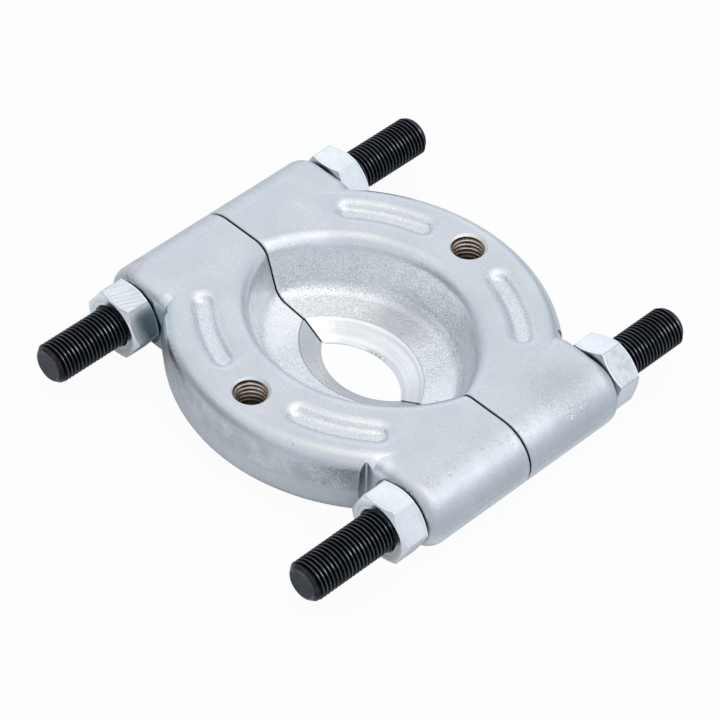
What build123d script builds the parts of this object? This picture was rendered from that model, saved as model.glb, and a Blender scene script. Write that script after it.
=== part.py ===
from build123d import *
import math
import os

os.makedirs("parts", exist_ok=True)

# The bearing separator lies flat: its underside is at Z = 0, the two studs run along Y, and the
# jaws meet on the plane Y = 0. The origin is the middle of the closed jaws, on the underside.
# All sizes are in millimetres.

# Forged jaws: the plate and its outside
thickness = 25.0
outer_arc_offset = 10.0
outer_radius = 71.5
outer_top_round = 6.0
outer_base_round = 6.8
forging_draft = 5.0

# Recess that takes the bearing, and the knife edge that goes under it
recess_arc_offset = 14.0
rim_radius = 47.1
rim_round = 6.0
recess_draft = 17.5
floor_height = 7.0
floor_round = 5.0
bevel_radius = 30.2
bevel_height = 5.5
edge_radius = 22.9
edge_land = 0.5

# Ears that the studs pass through
stud_spacing = 122.0
seat_clear_radius = 15.8
seat_set_back = 3.4
ear_flat = 1.8
ear_inner = 44.5
ear_blend_run = 6.0
ear_blend_drop = 1.4
ear_edge_round = 5.0
split_edge_round = 1.2

# Sunken grooves, two on each jaw, along the middle of the flat top of the ring; the depth and
# the rounds are shares of the full width, from lip to lip
groove_margin = 1.3
groove_near_angle = 16.6
groove_far_angle = 40.9
groove_wall_angle = 45.0
groove_depth_share = 0.189
groove_lip_share = 0.374
groove_floor_share = 0.197

# Threaded holes for the puller bolts, M12
puller_hole_reach = 48.0
puller_tap_diameter = 10.3
puller_sink_diameter = 12.6

# Studs, M14 x 1.5
stud_diameter = 14.0
stud_length = 164.0
stud_taper_depth = 1.5
stud_taper_length = 2.0
stud_end_round = 0.5
stud_hole_clearance = 0.25
left_stud_shift = 2.6
right_stud_shift = -2.4

# Hexagon nuts for the studs
nut_across_flats = 21.7
nut_across_corners = 24.7
nut_thickness = 10.5
nut_bore_clearance = 0.05
nut_sink_depth = 0.7
nut_face_ratio = 0.95
nut_chamfer_angle = 30.0
nut_turns = {
    "nut_front_left": 56.0,
    "nut_front_right": 4.0,
    "nut_rear_left": 4.0,
    "nut_rear_right": 18.0,
}

# How far a cutting shape runs past the faces that it cuts
cut_overrun = 1.0

stud_height = thickness / 2
ear_radius = thickness / 2
ear_overlap = ear_inner + ear_blend_run
seat_wall_x = stud_spacing / 2 - seat_clear_radius
ear_reach = math.sqrt(outer_radius**2 - seat_wall_x**2) - outer_arc_offset - seat_set_back
outer_axis = Axis((0, outer_arc_offset, 0), (0, 0, 1))
recess_axis = Axis((0, recess_arc_offset, 0), (0, 0, 1))
face_radius = outer_radius - thickness / 2 * math.tan(math.radians(forging_draft))
ring_flat_start = rim_radius + rim_round
ring_flat_end = face_radius - outer_top_round + recess_arc_offset - outer_arc_offset
ring_flat_width = ring_flat_end - ring_flat_start
groove_radius = ring_flat_start + ring_flat_width / 2
groove_full_width = ring_flat_width - 2 * groove_margin
groove_depth = groove_depth_share * groove_full_width
groove_lip_round = groove_lip_share * groove_full_width
groove_floor_round = groove_floor_share * groove_full_width
groove_lip_run = groove_lip_round * math.tan(math.radians(90 - groove_wall_angle) / 2)
groove_width = groove_full_width - 2 * groove_lip_run


# Solid plate under the outside of one jaw, turned about its own axis beyond the split
with BuildPart() as plate:
    with BuildSketch(Plane.XZ.offset(-outer_arc_offset)):
        with BuildLine():
            Polyline(
                (0, 0),
                (face_radius, 0),
                (outer_radius, thickness / 2),
                (face_radius, thickness),
                (0, thickness),
                close=True,
            )
        make_face()
        fillet(vertices().sort_by_distance((face_radius, 0))[0], radius=outer_base_round)
        fillet(vertices().sort_by_distance((face_radius, thickness))[0], radius=outer_top_round)
    revolve(axis=outer_axis)
    split(bisect_by=Plane.XZ, keep=Keep.TOP)
    split(bisect_by=Plane.YZ.offset(ear_overlap), keep=Keep.BOTTOM)
    split(bisect_by=Plane.YZ.offset(-ear_overlap), keep=Keep.TOP)

# One ear: a bar with a flat top and underside and a full round on its outer side
with BuildPart() as ear:
    with BuildSketch(Plane.XZ):
        round_centre = stud_spacing / 2 + ear_flat
        with BuildLine():
            Polyline(
                (round_centre, 0),
                (ear_inner + ear_blend_run, 0),
                (ear_inner, ear_blend_drop),
                (ear_inner, thickness - ear_blend_drop),
                (ear_inner + ear_blend_run, thickness),
                (round_centre, thickness),
            )
            ThreePointArc(
                (round_centre, thickness),
                (round_centre + ear_radius, thickness / 2),
                (round_centre, 0),
            )
        make_face()
    extrude(amount=ear_reach)
    end_face = ear.faces().sort_by(Axis.Y)[0]
    fillet(end_face.edges().sort_by(Axis.X)[1:], radius=ear_edge_round)

# Front jaw
with BuildPart() as jaw_front:
    add(plate.part)
    add(ear.part)
    mirror(ear.part, about=Plane.YZ)

    # Ring wall cut back square where the nuts turn
    with BuildSketch(Plane.XY):
        for side in (-1, 1):
            with Locations((side * (seat_wall_x + outer_radius / 2), -ear_reach - outer_radius / 2)):
                Rectangle(outer_radius, outer_radius)
    extrude(amount=thickness, mode=Mode.SUBTRACT)

    # Recess, floor, bevel and knife edge
    with BuildSketch(Plane.XZ.offset(-recess_arc_offset)):
        wall_run = math.tan(math.radians(recess_draft))
        floor_radius = rim_radius - (thickness - floor_height) * wall_run
        with BuildLine():
            Polyline(
                (0, -cut_overrun),
                (edge_radius, -cut_overrun),
                (edge_radius, edge_land),
                (bevel_radius, bevel_height),
                (floor_radius, floor_height),
                (rim_radius, thickness),
                (rim_radius + rim_round, thickness),
                (rim_radius + rim_round, thickness + cut_overrun),
                (0, thickness + cut_overrun),
                close=True,
            )
        make_face()
        fillet(vertices().sort_by_distance((floor_radius, floor_height))[0], radius=floor_round)
        fillet(vertices().sort_by_distance((rim_radius, thickness))[0], radius=rim_round)
    revolve(axis=recess_axis, mode=Mode.SUBTRACT)

    # Sunken grooves on either side of the threaded hole
    with BuildSketch(Plane.XY.offset(thickness)):
        for side in (-1, 1):
            near = -90 + side * groove_near_angle
            sweep = side * (groove_far_angle - groove_near_angle)
            middle_line = CenterArc((0, recess_arc_offset), groove_radius, near, sweep, mode=Mode.PRIVATE)
            SlotArc(middle_line, groove_width)
    extrude(amount=-groove_depth, taper=groove_wall_angle, mode=Mode.SUBTRACT)
    groove_lips = edges(Select.LAST).filter_by_position(Axis.Z, thickness, thickness)
    fillet(groove_lips, radius=groove_lip_round)
    groove_floors = faces().filter_by(Plane.XY).group_by(Axis.Z)[-2]
    fillet(groove_floors.edges(), radius=groove_floor_round)

    # Threaded hole for a puller bolt, with a countersunk mouth
    with Locations((0, -puller_hole_reach, thickness)):
        CounterSinkHole(puller_tap_diameter / 2, puller_sink_diameter / 2, counter_sink_angle=90)

    # Outside edges of the split face
    split_face_edges = edges().filter_by_position(Axis.Y, 0, 0)
    outside_edges = split_face_edges.filter_by(lambda edge: abs(edge.center().X) > ear_overlap)
    fillet(outside_edges, radius=split_edge_round)

    # Stud holes
    with BuildSketch(Plane.XZ):
        with Locations((-stud_spacing / 2, stud_height), (stud_spacing / 2, stud_height)):
            Circle(stud_diameter / 2 + stud_hole_clearance)
    extrude(amount=ear_reach + cut_overrun, mode=Mode.SUBTRACT)

# Rear jaw: the same forging, turned to face the front one
with BuildPart() as jaw_rear:
    mirror(jaw_front.part, about=Plane.XZ)

for name, jaw in (("jaw_front", jaw_front), ("jaw_rear", jaw_rear)):
    jaw.part.label = name
    export_step(jaw.part, f"parts/{name}.step")

# Studs, threaded over their whole length and tapered at both ends
for name, side, shift in (("stud_left", -1, left_stud_shift), ("stud_right", 1, right_stud_shift)):
    middle = (side * stud_spacing / 2, shift, stud_height)
    with BuildPart() as stud:
        with BuildSketch(Plane(middle, (1, 0, 0), (0, 0, 1))):
            end_radius = stud_diameter / 2 - stud_taper_depth
            taper_start = stud_length / 2 - stud_taper_length
            with BuildLine():
                Polyline(
                    (0, -stud_length / 2),
                    (end_radius, -stud_length / 2),
                    (stud_diameter / 2, -taper_start),
                    (stud_diameter / 2, taper_start),
                    (end_radius, stud_length / 2),
                    (0, stud_length / 2),
                    close=True,
                )
            make_face()
            fillet(vertices().group_by(Axis.X)[1], radius=stud_end_round)
        revolve(axis=Axis(middle, (0, 1, 0)))
    stud.part.label = name
    export_step(stud.part, f"parts/{name}.step")

# Hexagon nut on its inner face, chamfered to a circle on both faces
with BuildPart() as nut:
    with BuildSketch(Plane.XY):
        RegularPolygon(nut_across_flats / 2, 6, major_radius=False)
    extrude(amount=nut_thickness)
    with BuildSketch(Plane.XZ):
        flat_radius = nut_face_ratio * nut_across_flats / 2
        corner_radius = nut_across_corners / 2
        chamfer_rise = (corner_radius - flat_radius) * math.tan(math.radians(nut_chamfer_angle))
        with BuildLine():
            Polyline(
                (0, 0),
                (flat_radius, 0),
                (corner_radius, chamfer_rise),
                (corner_radius, nut_thickness - chamfer_rise),
                (flat_radius, nut_thickness),
                (0, nut_thickness),
                close=True,
            )
        make_face()
    revolve(axis=Axis.Z, mode=Mode.INTERSECT)
    Hole(stud_diameter / 2 + nut_bore_clearance)
    bore_mouths = edges().filter_by(GeomType.CIRCLE).sort_by(SortBy.RADIUS)[:2]
    chamfer(bore_mouths, length=nut_sink_depth)

# The four nuts, each on its stud and against its ear
for name, turn in nut_turns.items():
    y_side = -1 if "front" in name else 1
    x_side = -1 if "left" in name else 1
    corner_way = (math.cos(math.radians(turn)), 0, math.sin(math.radians(turn)))
    seat = Plane((x_side * stud_spacing / 2, y_side * ear_reach, stud_height), corner_way, (0, y_side, 0))
    with BuildPart(seat) as placed_nut:
        add(nut.part)
    placed_nut.part.label = name
    export_step(placed_nut.part, f"parts/{name}.step")
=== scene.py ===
import math
from types import SimpleNamespace

import bmesh
import bpy
import numpy as np
from mathutils import Matrix, Vector


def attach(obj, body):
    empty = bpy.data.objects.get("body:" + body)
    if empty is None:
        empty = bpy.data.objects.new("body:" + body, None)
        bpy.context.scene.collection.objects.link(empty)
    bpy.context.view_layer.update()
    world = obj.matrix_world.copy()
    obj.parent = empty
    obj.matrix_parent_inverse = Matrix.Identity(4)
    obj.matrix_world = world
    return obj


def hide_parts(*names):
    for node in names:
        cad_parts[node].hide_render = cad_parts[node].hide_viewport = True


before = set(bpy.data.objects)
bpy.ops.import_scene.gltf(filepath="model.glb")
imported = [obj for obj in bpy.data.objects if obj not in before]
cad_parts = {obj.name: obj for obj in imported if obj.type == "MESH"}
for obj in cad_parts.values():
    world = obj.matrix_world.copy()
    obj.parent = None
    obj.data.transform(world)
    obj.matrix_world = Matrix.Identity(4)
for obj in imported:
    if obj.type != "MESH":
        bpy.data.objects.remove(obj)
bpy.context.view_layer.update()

# Sizes of the bearing separator that its finer shapes follow, in metres
MM = 0.001
THICKNESS = 25.0 * MM
STUD_X = 61.0 * MM
STUD_Z = 12.5 * MM
EAR_REACH = 42.0 * MM

# Studs, M14 x 1.5
STUD_PLACES = {"left": -STUD_X, "right": STUD_X}
STUD_CREST = 7.0 * MM
STUD_ROOT = 6.08 * MM
STUD_PITCH = 1.5 * MM
STUD_HALF_LENGTH = 82.0 * MM
STUD_SHIFT = {"left": 2.6 * MM, "right": -2.4 * MM}
STUD_END_RADIUS = 5.35 * MM
STUD_END_ROUND = 0.35 * MM
STUD_TAPER_LENGTH = 2.0 * MM
STUD_COLUMNS = 48

# Nuts
NUT_FLAT = 10.85 * MM
NUT_CORNER = 12.35 * MM
NUT_FACE = 10.31 * MM
NUT_THICKNESS = 10.5 * MM
NUT_CHAMFER = math.radians(30.0)
NUT_SINK_RADIUS = 7.75 * MM
NUT_BORE_LIMIT = NUT_SINK_RADIUS - 0.05 * MM
NUT_EDGE_ROUND = 0.28 * MM
NUT_EDGE_BEND = math.radians(20.0)
NUT_THREAD_GAP = 0.06 * MM
# Where a nut's mesh has a column, in degrees past each corner
NUT_COLUMNS = (0.0, 1.5, 5.0, 10.0, 15.0, 20.0, 25.0, 30.0, 35.0, 40.0, 45.0, 50.0, 55.0, 58.5)
# How far each nut is turned on its stud, in degrees
NUT_TURNS = {"front_left": 56.0, "front_right": 4.0, "rear_left": 4.0, "rear_right": 18.0}

# Threaded holes for the puller bolts, M12 x 1.75, with crest and root named as on the bolt
HOLE_Y = 48.0 * MM
HOLE_PLACES = {"front": -HOLE_Y, "rear": HOLE_Y}
HOLE_CREST = 6.0 * MM
HOLE_ROOT = 5.05 * MM
HOLE_PITCH = 1.75 * MM
HOLE_MOUTH = 6.3 * MM
HOLE_COLUMNS = 64

# One turn of a thread: share of the pitch, and depth from 0 at the crest to 1 at the root
THREAD_CREST = ((-0.09, 0.07), (-0.055, 0.0), (-0.03, 0.0), (0.03, 0.0), (0.055, 0.0), (0.09, 0.07))
THREAD_GROOVE = ((0.38, 0.95), (0.5, 1.0), (0.62, 0.95))
THREAD_PROFILE = THREAD_CREST + THREAD_GROOVE

# Recess and grooves, measured from the axis that they are turned about
RECESS_AXIS_Y = 14.0 * MM
RIM_RADIUS = 47.1 * MM
BEVEL_RADIUS = 30.2 * MM
BEVEL_HEIGHT = 5.5 * MM
GROOVE_RADIUS = 60.75 * MM
GROOVE_NEAR = math.radians(16.6)
GROOVE_FAR = math.radians(40.9)

# Face of the ring wall beside the nuts
SEAT_SIDE = 45.2 * MM

# Outer wall of the ring, measured from the axis that it is turned about
OUTER_AXIS_Y = 10.0 * MM
WALL_RADIUS = 69.6 * MM

# Points nearer than this are one, and how far a hole's own faces may stray from its mouth
WELD = 1e-7
HOLE_SLACK = 0.02 * MM


# Meshes
def make_piece(name, mesh_or_bmesh, material, body):
    """An object of that mesh, in place already, with its material, riding on its body."""
    if isinstance(mesh_or_bmesh, bmesh.types.BMesh):
        mesh = bpy.data.meshes.new(name)
        mesh_or_bmesh.to_mesh(mesh)
        mesh_or_bmesh.free()
    else:
        mesh = mesh_or_bmesh
    piece = bpy.data.objects.new(name, mesh)
    bpy.context.scene.collection.objects.link(piece)
    mesh.materials.clear()
    mesh.materials.append(material)
    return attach(piece, body)


def thread_rows(angles, crest, root, pitch, zero, start, end, limit):
    """Places along the axis and radii of a right-hand thread, one column for each angle.
    zero is a place on the axis where the crest passes angle 0; limit(along, radius) trims it."""
    first_turn = math.floor((start - zero) / pitch) - 2
    turn_count = math.ceil((end - start) / pitch) + 4
    shares = np.array([share for share, depth in THREAD_PROFILE])
    depths = np.array([depth for share, depth in THREAD_PROFILE])
    turns = np.arange(first_turn, first_turn + turn_count)
    column = (turns[:, None] + shares[None, :]).ravel()
    along = zero + pitch * (column[None, :] + np.asarray(angles)[:, None] / (2 * math.pi))
    radius = np.broadcast_to(crest + (root - crest) * np.tile(depths, turn_count), along.shape)
    along = np.clip(along, start, end)
    return along, limit(along, radius)


def add_thread(shape, rows, angles, point, outward):
    """Adds the wall of a thread to the bmesh. point(angle, radius, along) gives its place."""
    along, radius = rows
    row_count = along.shape[1]
    columns = []
    for angle, places, radii in zip(angles, along, radius):
        columns.append([shape.verts.new(point(angle, r, a)) for a, r in zip(places, radii)])
    turn = len(THREAD_PROFILE)
    for index, column in enumerate(columns):
        last = index == len(columns) - 1
        following = columns[0] if last else columns[index + 1]
        shift = turn if last else 0
        for row in range(row_count - 1 - turn):
            corners = [
                column[row],
                column[row + 1],
                following[row + 1 + shift],
                following[row + shift],
            ]
            shape.faces.new(corners[::-1] if outward else corners)
    bmesh.ops.remove_doubles(shape, verts=shape.verts, dist=WELD)
    bmesh.ops.dissolve_degenerate(shape, edges=shape.edges, dist=WELD)


def stud_point(side_x):
    """Places round a stud's axis, which runs along Y."""
    return lambda angle, radius, along: (
        side_x + radius * math.sin(angle),
        along,
        STUD_Z + radius * math.cos(angle),
    )


def stud_taper(start, end):
    """The thread runs out on the tapered ends."""

    def limit(along, radius):
        from_end = np.minimum(along - start, end - along)
        slope = (STUD_CREST - STUD_END_RADIUS) / STUD_TAPER_LENGTH
        cone = STUD_END_RADIUS + slope * from_end
        corner = STUD_END_ROUND * np.clip(1 - from_end / STUD_END_ROUND, 0, 1) ** 2
        return np.minimum(radius, cone - corner)

    return limit


def make_stud(side, material):
    """Threaded over its whole length, with tapered ends and flat end faces."""
    side_x = STUD_PLACES[side]
    start = STUD_SHIFT[side] - STUD_HALF_LENGTH
    end = STUD_SHIFT[side] + STUD_HALF_LENGTH
    angles = np.arange(STUD_COLUMNS) * 2 * math.pi / STUD_COLUMNS
    rows = thread_rows(
        angles, STUD_CREST, STUD_ROOT, STUD_PITCH, STUD_SHIFT[side], start, end, stud_taper(start, end)
    )
    shape = bmesh.new()
    add_thread(shape, rows, angles, stud_point(side_x), outward=True)
    open_edges = [edge for edge in shape.edges if edge.is_boundary]
    bmesh.ops.holes_fill(shape, edges=open_edges, sides=0)
    bmesh.ops.recalc_face_normals(shape, faces=shape.faces)
    for face in shape.faces:
        face.smooth = len(face.verts) < 5
    piece = make_piece(f"stud_{side}_thread", shape, material, f"stud_{side}")
    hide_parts(f"stud_{side}")
    return piece


def hexagon_angles(turn):
    """Angles round the stud for the nut's columns, closer together at the six corners."""
    corners = [math.radians(90.0 - turn + 60.0 * corner) for corner in range(6)]
    past = [math.radians(column) for column in NUT_COLUMNS]
    return np.array(sorted((corner + angle) % (2 * math.pi) for corner in corners for angle in past))


def hexagon_radius(angles, turn):
    """Distance from the nut's axis to its flats, with the corners cut to a circle."""
    from_corner = (angles - math.radians(90.0 - turn)) % math.radians(60.0)
    flat = NUT_FLAT / np.cos(from_corner - math.radians(30.0))
    return np.minimum(flat, NUT_CORNER)


def make_nut(position, material):
    """Hexagon nut with chamfered faces, softened edges and the thread in its bore."""
    end, side = position.split("_")
    outward = -1 if end == "front" else 1
    side_x = STUD_PLACES[side]
    turn = NUT_TURNS[position]
    angles = hexagon_angles(turn)
    corner = hexagon_radius(angles, turn)
    rise = (corner - NUT_FACE) * math.tan(NUT_CHAMFER)
    seat = outward * EAR_REACH
    even = np.ones_like(corner)
    rings = (
        (NUT_SINK_RADIUS * even, 0.0 * even),
        (NUT_FACE * even, 0.0 * even),
        (corner, rise),
        (corner, NUT_THICKNESS - rise),
        (NUT_FACE * even, NUT_THICKNESS * even),
        (NUT_SINK_RADIUS * even, NUT_THICKNESS * even),
    )
    point = stud_point(side_x)
    shape = bmesh.new()
    loops = []
    for radii, heights in rings:
        corners = [point(a, r, seat + outward * h) for a, r, h in zip(angles, radii, heights)]
        loops.append([shape.verts.new(corner_point) for corner_point in corners])
    count = len(angles)
    for lower, upper in zip(loops, loops[1:]):
        for index in range(count):
            following = (index + 1) % count
            shape.faces.new((lower[index], lower[following], upper[following], upper[index]))

    low, high = sorted((seat, seat + outward * NUT_THICKNESS))

    def sink(along, radius):
        from_face = np.minimum(along - low, high - along)
        return np.maximum(radius, NUT_SINK_RADIUS - from_face)

    crest, root = STUD_CREST + NUT_THREAD_GAP, STUD_ROOT + NUT_THREAD_GAP
    rows = thread_rows(angles, crest, root, STUD_PITCH, STUD_SHIFT[side], low, high, sink)
    add_thread(shape, rows, angles, point, outward=False)
    bmesh.ops.recalc_face_normals(shape, faces=shape.faces)
    for face in shape.faces:
        face.smooth = True
    piece = make_piece(f"nut_{position}_hexagon", shape, material, f"nut_{position}")
    mark_outer_edges(piece.data, side_x)
    bevel = piece.modifiers.new("softened edges", "BEVEL")
    bevel.width = NUT_EDGE_ROUND
    bevel.segments = 3
    bevel.limit_method = "WEIGHT"
    bevel.harden_normals = True
    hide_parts(f"nut_{position}")
    return piece


def mark_outer_edges(mesh, axis_x):
    """Marks the nut's outer edges that are to be rounded."""
    shape = bmesh.new()
    shape.from_mesh(mesh)
    weight = shape.edges.layers.float.new("bevel_weight_edge")
    for edge in shape.edges:
        middle = (edge.verts[0].co + edge.verts[1].co) / 2
        from_axis = math.hypot(middle.x - axis_x, middle.z - STUD_Z)
        bend = edge.calc_face_angle(0.0)
        if from_axis > NUT_BORE_LIMIT and bend > NUT_EDGE_BEND:
            edge[weight] = 1.0
    shape.to_mesh(mesh)
    shape.free()


def hole_point(hole_y):
    """Places round a puller hole's axis, which runs along Z."""
    return lambda angle, radius, along: (radius * math.cos(angle), hole_y + radius * math.sin(angle), along)


def hole_sink(along, radius):
    """The countersunk mouth of a puller hole, on the top face."""
    return np.maximum(radius, HOLE_MOUTH - (THICKNESS - along))


def make_hole_thread(end, material):
    """The cut thread of one puller hole, with its countersunk mouth."""
    angles = np.arange(HOLE_COLUMNS) * 2 * math.pi / HOLE_COLUMNS
    rows = thread_rows(angles, HOLE_CREST, HOLE_ROOT, HOLE_PITCH, 0.0, 0.0, THICKNESS, hole_sink)
    shape = bmesh.new()
    add_thread(shape, rows, angles, hole_point(HOLE_PLACES[end]), outward=False)
    for face in shape.faces:
        face.smooth = True
    piece = make_piece(f"puller_thread_{end}", shape, material, f"jaw_{end}")
    return piece


def make_jaw(end, material):
    """The forging as the solid has it, with the plain wall of the puller hole taken out."""
    hole_y = HOLE_PLACES[end]
    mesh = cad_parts[f"jaw_{end}"].data.copy()
    shape = bmesh.new()
    shape.from_mesh(mesh)
    in_hole = [
        face
        for face in shape.faces
        if all(math.hypot(v.co.x, v.co.y - hole_y) < HOLE_MOUTH + HOLE_SLACK for v in face.verts)
    ]
    bmesh.ops.delete(shape, geom=in_hole, context="FACES")
    shape.to_mesh(mesh)
    shape.free()
    piece = make_piece(f"jaw_{end}_forging", mesh, material, f"jaw_{end}")
    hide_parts(f"jaw_{end}")
    return piece


# Shader nodes
def place(tree, kind, inputs=None, **options):
    """A node with its options and inputs set. An input that is given a socket is linked to it."""
    made = tree.nodes.new(kind)
    for option, value in options.items():
        setattr(made, option, value)
    for name, value in (inputs or {}).items():
        if isinstance(value, bpy.types.NodeSocket):
            tree.links.new(value, made.inputs[name])
        else:
            made.inputs[name].default_value = value
    return made


def maths(tree, operation, *values):
    """The result of a math node."""
    return place(tree, "ShaderNodeMath", dict(enumerate(values)), operation=operation).outputs[0]


def vector_maths(tree, operation, *values):
    """The vector that a vector math node gives."""
    return place(tree, "ShaderNodeVectorMath", dict(enumerate(values)), operation=operation).outputs[0]


def chain(tree, operation, values):
    """One operation over several values, from the first to the last."""
    total = values[0]
    for value in values[1:]:
        total = maths(tree, operation, total, value)
    return total


def product(tree, *masks):
    """Masks multiplied together."""
    return chain(tree, "MULTIPLY", masks)


def largest(tree, *masks):
    """The largest of some masks at each point."""
    return chain(tree, "MAXIMUM", masks)


def added(tree, *values):
    """Values added together."""
    return chain(tree, "ADD", values)


def less(tree, value, other):
    """A value less another."""
    return maths(tree, "SUBTRACT", value, other)


def apart(tree, value, other):
    """How far two values are apart, whichever is the larger."""
    return maths(tree, "ABSOLUTE", less(tree, value, other))


def rest_of(tree, mask):
    """What a mask leaves out."""
    return less(tree, 1.0, mask)


def step(tree, value, low, high, to_low=0.0, to_high=1.0):
    """Value taken smoothly from low..high to to_low..to_high, and held at both ends."""
    inputs = {"Value": value, "From Min": low, "From Max": high, "To Min": to_low, "To Max": to_high}
    return place(tree, "ShaderNodeMapRange", inputs, interpolation_type="SMOOTHSTEP").outputs["Result"]


def between(tree, mask, to_low, to_high):
    """A mask of 0 to 1 taken smoothly to another pair of values."""
    return step(tree, mask, 0.0, 1.0, to_low, to_high)


def band(tree, value, middle, outer, inner):
    """1 where a value is within the inner distance of the middle, falling to 0 at the outer one."""
    return step(tree, apart(tree, value, middle), outer, inner)


def length_of(tree, first, second):
    """Distance from the corner of a right angle, from its two sides."""
    squares = [product(tree, side, side) for side in (first, second)]
    return maths(tree, "POWER", added(tree, *squares), 0.5)


def near(tree, where, spot):
    """1 in the middle of a spot, falling to 0 at its edge. A spot is a point and two radii, in mm."""
    middle, inner, outer = spot
    point = tuple(value * MM for value in middle)
    gap = place(tree, "ShaderNodeVectorMath", {0: where, 1: point}, operation="DISTANCE").outputs["Value"]
    return step(tree, gap, outer * MM, inner * MM)


def noise(tree, where, scale, detail, roughness=0.5):
    """The outputs of a noise texture."""
    inputs = {"Vector": where, "Scale": scale, "Detail": detail, "Roughness": roughness}
    return place(tree, "ShaderNodeTexNoise", inputs).outputs


def tint(tree, share, first, second):
    """A colour between two others; both may be sockets."""
    mixed = place(tree, "ShaderNodeMix", {"Factor": share}, data_type="RGBA")
    for name, value in (("A", first), ("B", second)):
        socket = next(s for s in mixed.inputs if s.name == name and s.type == "RGBA")
        if isinstance(value, bpy.types.NodeSocket):
            tree.links.new(value, socket)
        else:
            socket.default_value = (*value, 1.0)
    return next(s for s in mixed.outputs if s.type == "RGBA")


def coated(tree, ground, *coats):
    """A colour with coats over it, in order. Each coat is the share that it covers and its colour."""
    for share, colour in coats:
        ground = tint(tree, share, ground, colour)
    return ground


def tint_value(tree, share, first, second):
    """A value between two others; all may be sockets."""
    return place(tree, "ShaderNodeMix", {"Factor": share, "A": first, "B": second}).outputs["Result"]


def relief(tree, *layers):
    """The normal of some bumps, in order. Each is a height of 0 to 1 and how far 1 stands out, in mm."""
    normal = None
    for height, distance in layers:
        inputs = {"Height": height, "Distance": distance * MM}
        if normal is not None:
            inputs["Normal"] = normal
        normal = place(tree, "ShaderNodeBump", inputs).outputs["Normal"]
    return normal


def new_group(name, inputs, outputs):
    """An empty shader node group with those sockets, and its input and output nodes."""
    tree = bpy.data.node_groups.new(name, "ShaderNodeTree")
    for label, kind, value in inputs:
        socket = tree.interface.new_socket(label, in_out="INPUT", socket_type=f"NodeSocket{kind}")
        if value is not None:
            socket.default_value = value
    for label in outputs:
        tree.interface.new_socket(label, in_out="OUTPUT", socket_type="NodeSocketFloat")
    return tree, tree.nodes.new("NodeGroupInput").outputs, tree.nodes.new("NodeGroupOutput").inputs


def use(tree, group, **values):
    """A node group placed in a material, with its values."""
    made = tree.nodes.new("ShaderNodeGroup")
    made.node_tree = group
    for name, value in values.items():
        if isinstance(value, bpy.types.NodeSocket):
            tree.links.new(value, made.inputs[name])
        else:
            made.inputs[name].default_value = value
    return made.outputs


# Length of a tool mark against the spacing of the marks, slimness of a scratch, and how two are turned
MARK_LENGTH = 40.0
SCRATCH_SLIMNESS = 26.0
SCRATCH_TURNS = ((0.3, 0.4), (-0.5, 1.9))


# Effects that more than one finish uses
def cloud_group():
    """Soft clouds, as plating has where it took unevenly."""
    tree, given, made = new_group(
        "plating_clouds", [("Vector", "Vector", None), ("Size", "Float", 0.01)], ["Cloud"]
    )
    scale = maths(tree, "DIVIDE", 1.0, given["Size"])
    cloud = noise(tree, given["Vector"], scale, 4.0, 0.55)["Fac"]
    tree.links.new(step(tree, cloud, 0.32, 0.68), made["Cloud"])
    return tree


def grain_group():
    """The grain of a blasted and plated surface: its height, and a tone of nearly the same scale."""
    tree, given, made = new_group(
        "blasted_grain", [("Vector", "Vector", None), ("Size", "Float", 0.0005)], ["Height", "Tone"]
    )
    scale = maths(tree, "DIVIDE", 1.0, given["Size"])
    soft = noise(tree, given["Vector"], scale, 2.0, 0.6)["Fac"]
    tree.links.new(soft, made["Height"])
    finer = noise(tree, given["Vector"], product(tree, scale, 1.3), 1.0)["Fac"]
    tree.links.new(step(tree, finer, 0.36, 0.64), made["Tone"])
    return tree


def pits_group():
    """Small pits of uneven outline, left by scale on the forging. Share of 0 gives none, 1 many."""
    tree, given, made = new_group(
        "forging_pits",
        [("Vector", "Vector", None), ("Size", "Float", 0.001), ("Share", "Float", 0.5)],
        ["Depth"],
    )
    scale = maths(tree, "DIVIDE", 1.0, given["Size"])
    warp = noise(tree, given["Vector"], scale, 1.0)["Color"]
    moved = vector_maths(tree, "SUBTRACT", warp, (0.5, 0.5, 0.5))
    sized = {0: moved, "Scale": given["Size"]}
    pushed = place(tree, "ShaderNodeVectorMath", sized, operation="SCALE").outputs[0]
    spot = vector_maths(tree, "ADD", given["Vector"], pushed)
    cells = place(tree, "ShaderNodeTexVoronoi", {"Vector": spot, "Scale": scale}).outputs
    chance = place(tree, "ShaderNodeSeparateColor", {"Color": cells["Color"]}).outputs["Red"]
    present = step(tree, chance, rest_of(tree, given["Share"]), 1.02)
    hollow = step(tree, cells["Distance"], 0.42, 0.12)
    tree.links.new(product(tree, present, hollow), made["Depth"])
    return tree


def marks_group():
    """Long fine marks of a belt or a cutter: Along runs with them, Across runs over them."""
    tree, given, made = new_group(
        "tool_marks",
        [("Along", "Float", 0.0), ("Across", "Float", 0.0), ("Spacing", "Float", 0.0003)],
        ["Height", "Tone"],
    )
    across = maths(tree, "DIVIDE", given["Across"], given["Spacing"])
    along = maths(tree, "DIVIDE", given["Along"], product(tree, given["Spacing"], MARK_LENGTH))
    drawn_out = place(tree, "ShaderNodeCombineXYZ", {"X": across, "Y": along}).outputs[0]
    tree.links.new(noise(tree, drawn_out, 1.0, 3.0, 0.65)["Fac"], made["Height"])
    broad = noise(tree, drawn_out, 0.22, 2.0)["Fac"]
    tree.links.new(step(tree, broad, 0.38, 0.66), made["Tone"])
    return tree


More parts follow.
